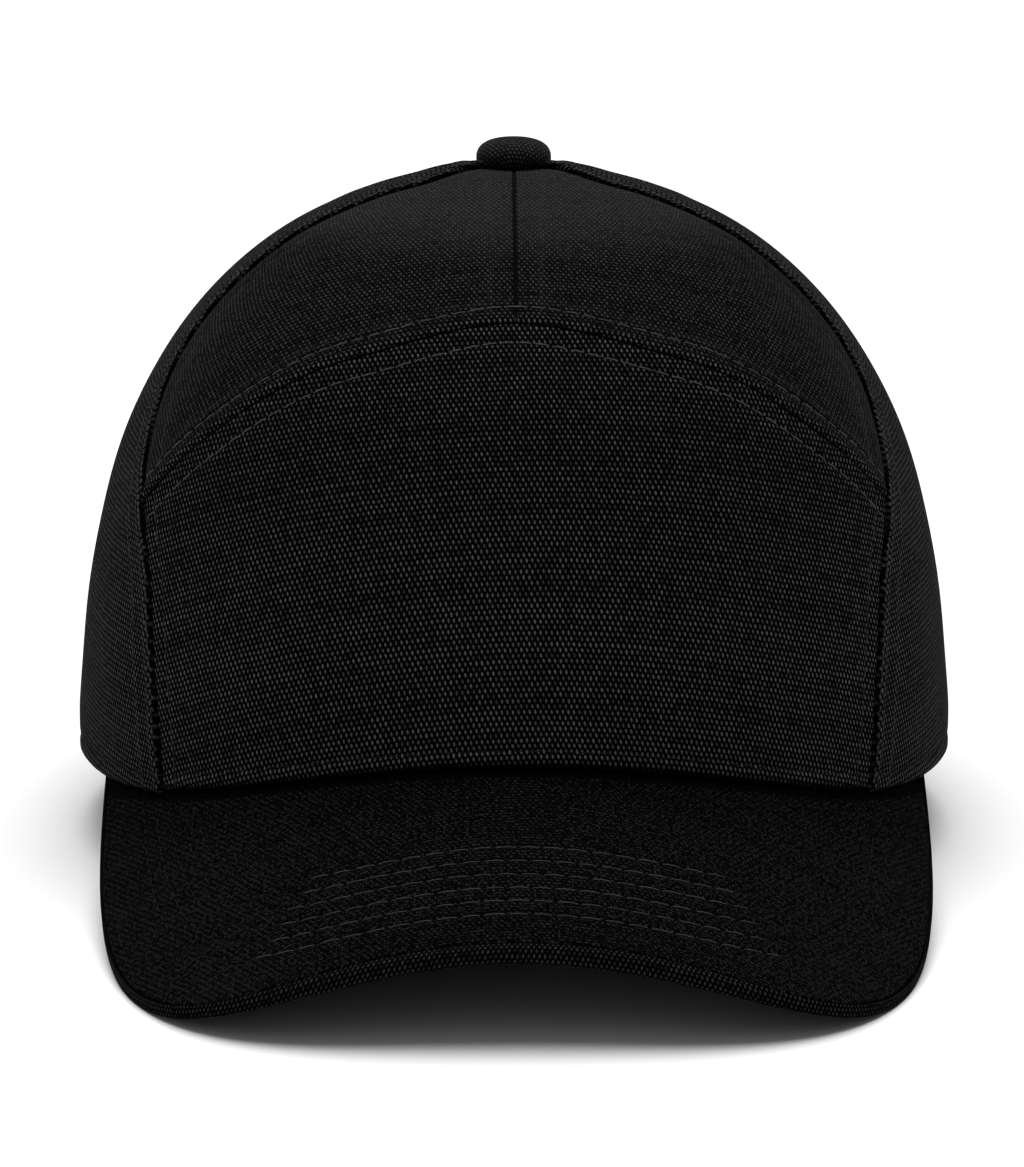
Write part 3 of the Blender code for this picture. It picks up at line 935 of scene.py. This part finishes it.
flat = spine_flat[:, None] + flat_side[:, None] * section_run[None, :, None]
fold_piece = swept_cloth("arch_canvas_fold", rings, flat,
                         np.full(rings.shape[:2], FOLD_SHADE), "front_canvas")
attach(fold_piece, "root")
print(f"arch_canvas_fold: {1000 * spine_run[-1]:.0f} mm long")

# %% [markdown]
# ## The visor
#
# A visor is a stiff board between two cloths. The upper cloth is stitched through the board in
# six rows, which pull it down a little, and the coarse canvas of the lower cloth comes round the
# front edge in a narrow roll. Both are closed sections swept from one end to the other.

# %% Visor curves in plan
VISOR_GRAIN = (7.0, 0.035)
VISOR_COLUMNS = 190
FINE_TURN = 801
FINE_SWEEP = 4001


def evenly(curve):
    """The same curve with points at equal steps along it, one for each line of the grid."""
    length = lengths_along(curve)
    places = np.linspace(0.0, length[-1], VISOR_COLUMNS + 1)
    return np.stack([np.interp(places, length, curve[:, k]) for k in range(2)], axis=1)


def visor_root():
    """The tucked edge, inside the crown."""
    turn = np.radians(np.linspace(-VISOR_END_ANGLE, VISOR_END_ANGLE, FINE_TURN))
    plan = np.stack(crown_plan(turn, np.zeros_like(turn)), axis=1)
    return evenly(plan * (1.0 - VISOR_TUCK / FRONT_REACH))


def visor_rim(inset):
    """The outer edge, moved inwards by an inset."""
    sweep = np.linspace(-math.pi / 2, math.pi / 2, FINE_SWEEP)
    power = 2.0 / VISOR_CORNER_POWER
    x = VISOR_HALF_WIDTH * np.sign(np.sin(sweep)) * np.abs(np.sin(sweep)) ** power
    span = FRONT_REACH + VISOR_LENGTH - VISOR_PLAN_BACK
    forward = VISOR_PLAN_BACK + span * np.abs(np.cos(sweep)) ** power
    keep = forward >= VISOR_END_REACH
    curve = evenly(np.stack([x[keep], forward[keep]], axis=1))
    along = unit(np.gradient(curve, axis=0))
    return curve + np.stack([along[:, 1], -along[:, 0]], axis=1) * inset


def visor_points(plan, depth):
    """Points at a depth under the visor's upper face."""
    z = visor_height(plan[..., 0], plan[..., 1]) - depth
    return np.stack([plan[..., 0], -plan[..., 1], z], axis=-1)


def visor_normal(plan):
    """Upward directions of the visor's upper face."""
    step = 1.0e-4
    side = np.array([step, 0.0])
    ahead = np.array([0.0, step])
    x = visor_points(plan + side, 0.0) - visor_points(plan - side, 0.0)
    y = visor_points(plan + ahead, 0.0) - visor_points(plan - ahead, 0.0)
    return unit(np.cross(y, x))


def visor_places(plan):
    """Place on the flat visor cloth: across the bend, and down the slope."""
    x = plan[..., 0]
    r = VISOR_BEND_RADIUS
    across = 0.5 * x * np.sqrt(1.0 + (x / r) ** 2) + 0.5 * r * np.arcsinh(x / r)
    up = (FRONT_REACH - plan[..., 1]) / math.cos(math.radians(VISOR_SLOPE))
    return np.stack([across, up + drooped(across, *VISOR_GRAIN)], axis=-1)


# %% Visor's upper cloth
VISOR_ROWS = 150
CLOSER_IN_FRONT = 0.85
VISOR_STITCH_ROWS = (0.0405, 0.0352, 0.0299, 0.0246, 0.0193, 0.0140)
VISOR_STITCH_PRESS = 0.00030
VISOR_STITCH_GROOVE = 0.0007
VISOR_EDGE_FOLD = 0.0005
LEAST_FOLD = 0.1
# the stitch grooves and the edge fold get painted shade, one full step darker at this depth
PRESS_SHADE = 0.0008
LIP_AT_CORNER = 0.0004
LIP_NARROWS = (0.026, 0.062)
# painted shade under the crown's hem, softer painted shade further out, and painted light where
# the visor turns down
HEM_SHADE = 1.3
HEM_SHADE_REACH = (0.0006, 0.0028)
HOLLOW_SHADE = 0.45
HOLLOW_REACH = (0.004, 0.024)
SIDE_LIGHT = 0.35
SIDE_REACH = (0.030, 0.066)


def lip_width():
    """Width of the canvas roll on top: full at the front, almost none at the corners."""
    side = np.abs(visor_rim(0.0)[:, :1])
    return VISOR_LIP + (LIP_AT_CORNER - VISOR_LIP) * ease(*LIP_NARROWS, side)


def crown_gap(plan):
    """How far a place on the visor lies outside the crown."""
    x, forward = plan[..., 0], plan[..., 1]
    turn = np.arctan2(x / HALF_WIDTH, forward / FRONT_REACH)
    return np.hypot(x, forward) - np.hypot(*crown_plan(turn, np.zeros_like(turn)))


lip = lip_width()
visor_inset = lip + SEAM_GAP
visor_back = visor_root()
visor_front = visor_rim(visor_inset)
shares = np.linspace(0.0, 1.0, VISOR_ROWS + 1) ** CLOSER_IN_FRONT
visor_plan = visor_back + (visor_front - visor_back) * shares[:, None, None]
visor_top = visor_points(visor_plan, 0.0)
visor_up = visor_normal(visor_plan)
visor_from_seam = edge_distances(visor_top)["upper"]
visor_from_front = visor_from_seam + visor_inset[:, 0]

press = np.zeros(visor_from_front.shape)
for place in VISOR_STITCH_ROWS:
    groove = np.exp(-((visor_from_front - place) / VISOR_STITCH_GROOVE) ** 2)
    press = press + VISOR_STITCH_PRESS * groove
fold = np.clip(1.0 - visor_from_seam / VISOR_EDGE_FOLD, 0.0, 1.0)
lip_share = (lip[:, 0] - LIP_AT_CORNER) / (VISOR_LIP - LIP_AT_CORNER)
fold_depth = VISOR_EDGE_FOLD * (LEAST_FOLD + (1.0 - LEAST_FOLD) * lip_share)
press = press + fold_depth * (1.0 - np.sqrt(1.0 - fold ** 2))
visor_top = visor_top + visor_up * (0.5 * soft_waves(visor_top) - press)[..., None]

bottom_plan = visor_back + (visor_front - visor_back) * np.linspace(1.0, 0.0, 12)[:, None, None]
visor_bottom = visor_points(bottom_plan, VISOR_CLOTH)
rings = np.concatenate([visor_top, visor_bottom]).transpose(1, 0, 2)
flat = visor_places(np.concatenate([visor_plan, bottom_plan]).transpose(1, 0, 2))
from_crown = crown_gap(visor_plan)
# painted shade in the stitch grooves, the edge fold and under the crown's hem, and painted light
# at the sides
painted_light_and_tone_marks = -press / PRESS_SHADE - HEM_SHADE * (1.0 - ease(*HEM_SHADE_REACH, from_crown))
painted_light_and_tone_marks = painted_light_and_tone_marks - HOLLOW_SHADE * (1.0 - ease(*HOLLOW_REACH, from_crown))
painted_light_and_tone_marks = painted_light_and_tone_marks + SIDE_LIGHT * ease(*SIDE_REACH, np.abs(visor_plan[..., 0]))
painted_light_and_tone_marks = np.concatenate([painted_light_and_tone_marks, np.zeros(bottom_plan.shape[:2])]).T
visor_piece = swept_cloth("visor_upper_cloth", rings, flat, painted_light_and_tone_marks, "visor_cloth")
finish_piece(visor_piece, "visor_top_cloth")

# %% Visor's lower cloth and its rolled edge
LIP_DEPTH = VISOR_CLOTH + VISOR_CLOTH_GAP + VISOR_BOARD
LIP_ROUND = 0.0015
LIP_STEPS = 20
LIP_POWER = 0.8
LIP_TURN = 0.0006


def lip_profile(wide):
    """Inset and depth of the rolled edge, from its upper seam round to its underside."""
    rows = [(wide, 0.0009), (wide - 0.0001, 0.0004), (wide - 0.0003, 0.00012)]
    for step in range(1, LIP_STEPS + 1):
        angle = math.pi * step / LIP_STEPS
        out = 1.0 - abs(math.sin(angle)) ** LIP_POWER
        down = 1.0 - math.copysign(abs(math.cos(angle)) ** LIP_POWER, math.cos(angle))
        reach = wide - LIP_TURN if angle < math.pi / 2 else np.full_like(wide, LIP_ROUND)
        rows.append((out * reach, LIP_DEPTH / 2 * down))
    return rows


under_rows = []
under_flat = []


def add_sheet(front, depth, shares):
    """Lines of a cloth between the visor's root and a front line."""
    for share in shares:
        plan = visor_back + (front - visor_back) * share
        under_rows.append(visor_points(plan, depth))
        under_flat.append(visor_places(plan))


add_sheet(visor_rim(lip), VISOR_CLOTH + VISOR_CLOTH_GAP,
          np.linspace(0.0, 1.0, 9))
rim_run = lengths_along(visor_points(visor_rim(0.0), 0.0))
turned = 0.0
last = (lip[:, 0], 0.0)
for inset, depth in lip_profile(lip):
    turned = turned + np.hypot(inset[:, 0] - last[0], depth - last[1])
    last = (inset[:, 0], depth)
    under_rows.append(visor_points(visor_rim(inset), depth))
    under_flat.append(np.stack([rim_run, turned], axis=-1))
add_sheet(visor_rim(LIP_ROUND), LIP_DEPTH, np.linspace(1.0, 0.0, 40)[1:])
rings = np.stack(under_rows, axis=1)
under_piece = swept_cloth("visor_lower_canvas", rings, np.stack(under_flat, axis=1),
                          np.zeros(rings.shape[:2]), "visor_canvas")
finish_piece(under_piece, "visor_under_cloth")

# %% [markdown]
# ## The covered button
#
# A metal button blank is covered with a disc of the same canvas, drawn tight over the dome and
# gathered underneath. The profile is turned round the stem, with shallow gathers low down.

# %% Button
BUTTON_HEIGHT_ON_CROWN = 0.12370
BUTTON_TILT = 4.0
BUTTON_SIDES = 120
GATHERS = 14
GATHER_DEPTH = 0.00010
GATHER_PLACE = 0.0088
GATHER_WIDTH = 0.0016
# painted shade low down on the button, over its gathers
GATHER_SHADE = 0.6
BUTTON_ROWS = (
    # run along the profile, radius, height
    (0.00000, 0.00190, -0.00320),
    (0.00310, 0.00190, -0.00010),
    (0.00340, 0.00215, 0.00000),
    (0.00785, 0.00660, 0.00000),
    (0.00872, 0.00735, 0.00045),
    (0.00972, 0.00765, 0.00140),
    (0.01077, 0.00762, 0.00245),
    (0.01193, 0.00725, 0.00355),
    (0.01321, 0.00640, 0.00450),
    (0.01480, 0.00500, 0.00525),
    (0.01665, 0.00320, 0.00568),
    (0.01845, 0.00140, 0.00583),
    (0.01985, 0.00000, 0.00585),
)

profile = np.concatenate([[0.0, 0.0015, 0.0031, 0.0034, 0.0050],
                          np.linspace(0.0066, 0.01984, 58)])
radius = smooth_rows(BUTTON_ROWS, 1, profile)
height = smooth_rows(BUTTON_ROWS, 2, profile)
angle = np.linspace(0.0, 2.0 * math.pi, BUTTON_SIDES, endpoint=False)
low_down = np.exp(-((profile - GATHER_PLACE) / GATHER_WIDTH) ** 2)[:, None]
spread = radius[:, None] + GATHER_DEPTH * low_down * (np.cos(GATHERS * angle) - 1.0)
points = np.stack([spread * np.cos(angle), spread * np.sin(angle),
                   np.repeat(height[:, None], BUTTON_SIDES, axis=1)], axis=-1)
from_top = (profile[-1] - profile)[:, None]
flat = np.stack([from_top * np.cos(angle), from_top * np.sin(angle)], axis=-1)
tilt = np.array(Matrix.Rotation(math.radians(BUTTON_TILT), 3, "X"))
points = points @ tilt.T + np.array([0.0, 0.0, BUTTON_HEIGHT_ON_CROWN])
# the button's lower band gets painted shade
button_piece = swept_cloth("covered_button", points, flat,
                           np.repeat(-GATHER_SHADE * low_down, BUTTON_SIDES, axis=1),
                           "button_canvas")
finish_piece(button_piece, "top_button")

# %% [markdown]
# ## Stitches
#
# A lockstitch shows as a row of short dashes: the thread comes up, runs over the cloth and goes
# down again. One small bent thread, repeated along a line by Geometry Nodes, makes every row.
# The line carries the direction of the cloth under it, so each stitch lies on the surface.

# %% The stitch tree
THREAD_POINTS = 6
SHORTEST, LONGEST = 0.88, 1.06


def make_stitch_tree():
    """Geometry node tree that lays bent threads along lines."""
    tree, given = start_group(
        "stitch_row", "GeometryNodeTree",
        [("Lines", "Geometry"), ("Pitch", "Float"), ("Stitch length", "Float"),
         ("Thread thickness", "Float"), ("Rise", "Float"), ("Sink", "Float"),
         ("Seed", "Int"), ("Thread", "Material")],
        [("Stitches", "Geometry")])

    def node(kind, inputs=(), output=0, **settings):
        return wire(tree, kind, inputs, output, **settings)

    half = given["Stitch length"] * 0.5
    down = given["Sink"] * -1.0
    thread = node("GeometryNodeCurveQuadraticBezier", {
        "Resolution": THREAD_POINTS,
        "Start": node("ShaderNodeCombineXYZ", {"X": half * -1.0, "Z": down}),
        "Middle": node("ShaderNodeCombineXYZ", {"Z": given["Rise"]}),
        "End": node("ShaderNodeCombineXYZ", {"X": half, "Z": down})})
    section = node("GeometryNodeCurvePrimitiveCircle", {
        "Resolution": THREAD_POINTS, "Radius": given["Thread thickness"] * 0.5})
    solid = node("GeometryNodeCurveToMesh", {
        "Curve": thread, "Profile Curve": section, "Fill Caps": True})
    smooth = node("GeometryNodeSetShadeSmooth", {"Geometry": solid})

    line = node("GeometryNodeMeshToCurve", {"Mesh": given["Lines"]})
    spaced = node("GeometryNodeResampleCurve", {"Curve": line, "Length": given["Pitch"]},
                  mode="LENGTH")
    cloth_up = node("GeometryNodeInputNamedAttribute", {"Name": "cloth_up"}, "Attribute",
                    data_type="FLOAT_VECTOR")
    along = node("FunctionNodeAlignRotationToVector",
                 {"Vector": node("GeometryNodeInputTangent")}, axis="X")
    upright = node("FunctionNodeAlignRotationToVector",
                   {"Rotation": along, "Vector": cloth_up}, axis="Z", pivot_axis="X")
    scale = node("FunctionNodeRandomValue",
                 {"Min": SHORTEST, "Max": LONGEST, "Seed": given["Seed"]}, "Value",
                 data_type="FLOAT")
    laid = node("GeometryNodeInstanceOnPoints", {
        "Points": spaced, "Instance": smooth, "Rotation": upright, "Scale": scale})
    coloured = node("GeometryNodeSetMaterial", {
        "Geometry": node("GeometryNodeRealizeInstances", {0: laid}),
        "Material": given["Thread"]})
    add_node(tree, "NodeGroupOutput", {"Stitches": coloured})
    return tree


stitch_tree = make_stitch_tree()

# %% Sewing thread
PLY_SCALE, LENGTH_SCALE = 2600.0, 260.0
PLY_DARK = (0.45, 0.45, 0.47)
PLY_LIGHT = (1.5, 1.5, 1.53)
PLY_BUMP = (0.5, 0.0001)


def thread_material(name, grey):
    """Spun polyester thread: matt, with its ply showing as fine light and dark."""
    material = new_material(name)
    place = wire(material.node_tree, "ShaderNodeTexCoord", output="Object")
    ply = noise(place, PLY_SCALE, 2.0) * (noise(place, LENGTH_SCALE, 1.0) * 2.0)
    dark, light = ([grey * part for part in parts] + [1.0] for parts in (PLY_DARK, PLY_LIGHT))
    set_shader(material, mix_colours(ply, dark, light), ply * 0.3 + 0.6, ply, PLY_BUMP,
               {"Specular IOR Level": 0.05, "Sheen Weight": 0.01, "Sheen Roughness": 0.4})
    return material


THREADS = {"crown_thread": 0.060, "visor_thread": 0.045, "dark_thread": 0.007,
           "seam_thread": 0.024}
threads = {name: thread_material(name, grey) for name, grey in THREADS.items()}

# %% [markdown]
# ## Where the rows run
#
# A row of stitches keeps one distance from its seam, so it is read off the panel's grid at that
# distance, line by line, with the direction of the cloth under it.

# %% Sew rows
def sew(name, rows, pitch, length, thickness, rise, sink, seed, thread):
    """Stitches along rows of points, as one plain mesh."""
    points, ways, edges = [], [], []
    for places, directions in rows:
        start = len(points)
        points += on_table(places).tolist()
        ways += turned_only(directions).tolist()
        edges += [(k, k + 1) for k in range(start, start + len(places) - 1)]
    mesh = bpy.data.meshes.new(name + "_lines")
    mesh.from_pydata(points, edges, [])
    attribute = mesh.attributes.new("cloth_up", "FLOAT_VECTOR", "POINT")
    attribute.data.foreach_set("vector", np.array(ways, np.float32).ravel())
    line = add_object(name + "_lines", mesh)
    modifier = line.modifiers.new("stitches", "NODES")
    modifier.node_group = stitch_tree
    inputs = {item.name: item.identifier for item in stitch_tree.interface.items_tree
              if item.in_out == "INPUT"}
    for label, value in (("Pitch", pitch), ("Stitch length", length),
                         ("Thread thickness", thickness), ("Rise", rise), ("Sink", sink),
                         ("Seed", seed), ("Thread", threads[thread])):
        modifier[inputs[label]] = value
    evaluated = line.evaluated_get(bpy.context.evaluated_depsgraph_get())
    stitches = bpy.data.meshes.new_from_object(evaluated)
    stitches.name = name
    piece = add_object(name, stitches)
    bpy.data.objects.remove(line)
    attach(piece, "root")
    print(f"{name}: {len(stitches.polygons)} faces in {len(rows)} rows")


# %% Rows over the arched seam
def row_place(finish):
    """Distance of an edge finish's stitches from its seam."""
    return EDGE_FINISHES[finish][5]


# each sew call ends with pitch, length, thickness, rise, sink, seed and thread
arch_rows = [over_both(upper_grids, "lower", row_place("arch_cloth"), (0.0, 0.003)),
             row_beside(front_grids, "upper", row_place("arch_canvas"), (0.003, 0.003))]
sew("arch_stitches", arch_rows, 0.0034, 0.0027, 0.00027, 0.00036, 0.00012, 3,
    "crown_thread")

# %% Rows beside the side seams
BEAD_PLACE = 0.0005
seam_rows = [row_beside(front_grids, side, row_place("side_seam"), (0.003, 0.004))
             for side in ("first", "second")]
seam_rows += [row_beside(upper_grids[hand], "second", row_place("upper_side_seam"),
                         (0.005, 0.012)) for hand in HANDS]
sew("front_seam_stitches", seam_rows, 0.0034, 0.0026, 0.00026, 0.00030, 0.00012, 5,
    "seam_thread")
bead_rows = [row_beside(side_grids[hand], "first", BEAD_PLACE, (0.003, 0.004))
             for hand in HANDS]
sew("seam_beads", bead_rows, 0.0017, 0.0009, 0.00036, 0.00030, 0.00010, 6, "seam_thread")

# %% Rows at the sides and the back
rear_rows = [row_beside(grids[hand], side, row_place("rear_seam"), (0.003, 0.012))
             for hand in HANDS
             for grids, side in ((side_grids, "second"), (back_grids, "first"),
                                 (back_grids, "second"))]
sew("rear_seam_stitches", rear_rows, 0.0034, 0.0026, 0.00028, 0.00032, 0.00012, 7,
    "seam_thread")

# %% Rows along the hem
hem_grids = [front_grids] + [grids[hand] for grids in (side_grids, back_grids)
                             for hand in HANDS]
hem_rows = [row_beside(grids, "lower", row_place("hem"), (0.001, 0.001))
            for grids in hem_grids]
sew("hem_stitches", hem_rows, 0.0034, 0.0026, 0.00026, 0.00030, 0.00012, 9, "dark_thread")

# %% Six rows over the visor
VISOR_ROWS_END = 0.038
VISOR_ROWS_SPREAD = 0.002
FIRST_STITCH = 0.0012
visor_grids = {"outer": visor_top, "normal": visor_up,
               "distances": {"upper": visor_from_front}}
visor_rows, faint_rows = [], []
for number, place in enumerate(VISOR_STITCH_ROWS):
    places, ways = row_beside(visor_grids, "upper", place)
    plan = np.stack([places[:, 0], -places[:, 1]], axis=-1)
    outside = crown_gap(plan) > FIRST_STITCH
    reach = VISOR_ROWS_END + VISOR_ROWS_SPREAD * number
    front = outside & (np.abs(places[:, 0]) < reach)
    visor_rows.append((places[front], ways[front]))
    for side in (-1.0, 1.0):
        beyond = outside & (side * places[:, 0] >= reach)
        faint_rows.append((places[beyond], ways[beyond]))
sew("visor_stitches", visor_rows, 0.0044, 0.0037, 0.00025, 0.00028, 0.00012, 11,
    "visor_thread")
sew("visor_side_stitches", faint_rows, 0.0044, 0.0034, 0.00022, 0.00018, 0.00013, 13,
    "dark_thread")

# %% [markdown]
# ## Floor, light and camera
#
# Black cloth needs light from all round to show its shape, so the set is a white floor under a
# pale sky, with one wide soft light from above and a weaker one from the front. The camera is
# far off with a long lens, as for a product picture, and looks 13 degrees down.

# %% Floor
FLOOR_REACH = 6.0
floor_mesh = bpy.data.meshes.new("floor")
corners = [(x * FLOOR_REACH, y * FLOOR_REACH, 0.0)
           for x, y in ((-1, -1), (1, -1), (1, 1), (-1, 1))]
floor_mesh.from_pydata(corners, [], [(0, 1, 2, 3)])
white_table = new_material("white_table")
table_place = wire(white_table.node_tree, "ShaderNodeTexCoord", output="Object")
feed(white_table.node_tree.nodes["Principled BSDF"], {
    "Base Color": mix_colours(noise(table_place, 3.0, 2.0), (0.86, 0.86, 0.86, 1.0),
                              (0.90, 0.90, 0.90, 1.0)),
    "Roughness": 0.9, "Specular IOR Level": 0.1})
floor_mesh.materials.append(white_table)
add_object("floor", floor_mesh)

# %% Lights
def sun(name, energy, spread, pitch, yaw):
    """A very wide, far light: pitch from straight down, yaw round the cap."""
    light = bpy.data.lights.new(name, "SUN")
    light.energy = energy
    light.angle = math.radians(spread)
    add_object(name, light).rotation_euler = (math.radians(pitch), 0.0, math.radians(yaw))


sun("soft_top_light", 3.5, 60.0, -8.0, 0.0)
sun("soft_front_light", 0.15, 60.0, 60.0, -12.0)

sky = bpy.data.worlds.new("pale_studio")
sky.use_nodes = True
feed(sky.node_tree.nodes["Background"], {"Color": (1.0, 1.0, 1.0, 1.0), "Strength": 0.22})
bpy.context.scene.world = sky
bpy.context.scene.view_settings.view_transform = "Standard"

# %% Camera
CAMERA_PLACE = Vector((-0.0089, -1.4260, 0.3977))
CAMERA_AIM = Vector((-0.0004, 0.0328, 0.0489))
CAMERA_LENS = 225.2
lens = bpy.data.cameras.new("camera")
lens.sensor_fit = "VERTICAL"
lens.sensor_height = 36.0
lens.lens = CAMERA_LENS
camera = add_object("camera", lens)
camera.location = CAMERA_PLACE
camera.rotation_euler = (CAMERA_AIM - CAMERA_PLACE).to_track_quat("-Z", "Y").to_euler()
bpy.context.scene.camera = camera
